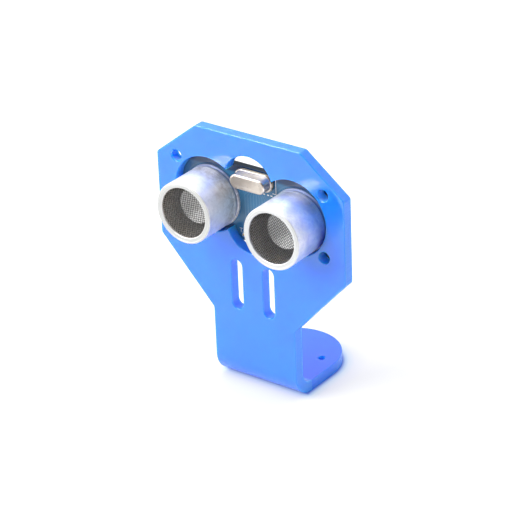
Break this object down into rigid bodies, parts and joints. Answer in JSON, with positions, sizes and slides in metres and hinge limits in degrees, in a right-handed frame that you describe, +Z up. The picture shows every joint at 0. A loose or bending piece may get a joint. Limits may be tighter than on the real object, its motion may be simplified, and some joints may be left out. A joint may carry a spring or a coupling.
{
  "type": "ultrasonic distance sensor",
  "caption": "Ultrasonic distance sensor: circuit board with round transmitter and receiver cans and a crystal, set into a bent acrylic bracket with eye cut-outs, slots and a round-ended foot.",
  "frame": {"origin": "centre of the horn hole in the foot, on the foot's underside", "axes": "+Z up, -Y the direction the sensor looks, +X to the right of a person facing the sensor"},
  "size_m": [0.0554, 0.0375, 0.0681],
  "materials": {
    "acrylic": "gloss",
    "board": "solder mask, satin",
    "can_aluminium": "satin",
    "screen": "matt dark",
    "cone_aluminium": "satin",
    "brass_disc": "satin",
    "piezo": "matt",
    "soft_ring": "matt",
    "base_plastic": "matt",
    "tinned_pin": "satin",
    "lead_wire": "bright",
    "crystal_metal": "satin nickel",
    "crystal_base": "satin",
    "quartz": "polished",
    "chip_epoxy": "fine matt",
    "resistor_black": "satin",
    "capacitor_tan": "satin",
    "header_plastic": "satin",
    "gold_pin": "bright",
    "solder": "bright"
  },
  "bodies": {
    "bracket": {"bracket": "acrylic"},
    "sensor_module": {"circuit_board": "board", "crystal_can": "crystal_metal", "crystal_base": "crystal_base", "crystal_leads": "tinned_pin", "crystal_clips": "tinned_pin", "crystal_blank": "quartz", "controller_chip_body": "chip_epoxy", "controller_chip_leads": "tinned_pin", "amplifier_chip_body": "chip_epoxy", "amplifier_chip_leads": "tinned_pin", "driver_chip_body": "chip_epoxy", "driver_chip_leads": "tinned_pin", "resistor_bodies": "resistor_black", "resistor_terminals": "solder", "capacitor_bodies": "capacitor_tan", "capacitor_terminals": "solder", "transistor_bodies": "chip_epoxy", "transistor_leads": "tinned_pin", "header_block": "header_plastic", "header_pins": "gold_pin", "rear_solder_joints": "solder", "front_solder_joints": "solder", "transmitter_can": "can_aluminium", "transmitter_mesh": "screen", "transmitter_cone": "cone_aluminium", "transmitter_plate": "brass_disc", "transmitter_piezo": "piezo", "transmitter_support_ring": "soft_ring", "transmitter_base": "base_plastic", "transmitter_pins": "tinned_pin", "transmitter_wires": "lead_wire", "receiver_can": "can_aluminium", "receiver_mesh": "screen", "receiver_cone": "cone_aluminium", "receiver_plate": "brass_disc", "receiver_piezo": "piezo", "receiver_support_ring": "soft_ring", "receiver_base": "base_plastic", "receiver_pins": "tinned_pin", "receiver_wires": "lead_wire"}
  },
  "joints": [
    {"name": "module_withdraw", "type": "slide", "parent": "bracket", "child": "sensor_module", "axis": [0, 1, 0], "range_m": [0, 0.016]}
  ]
}
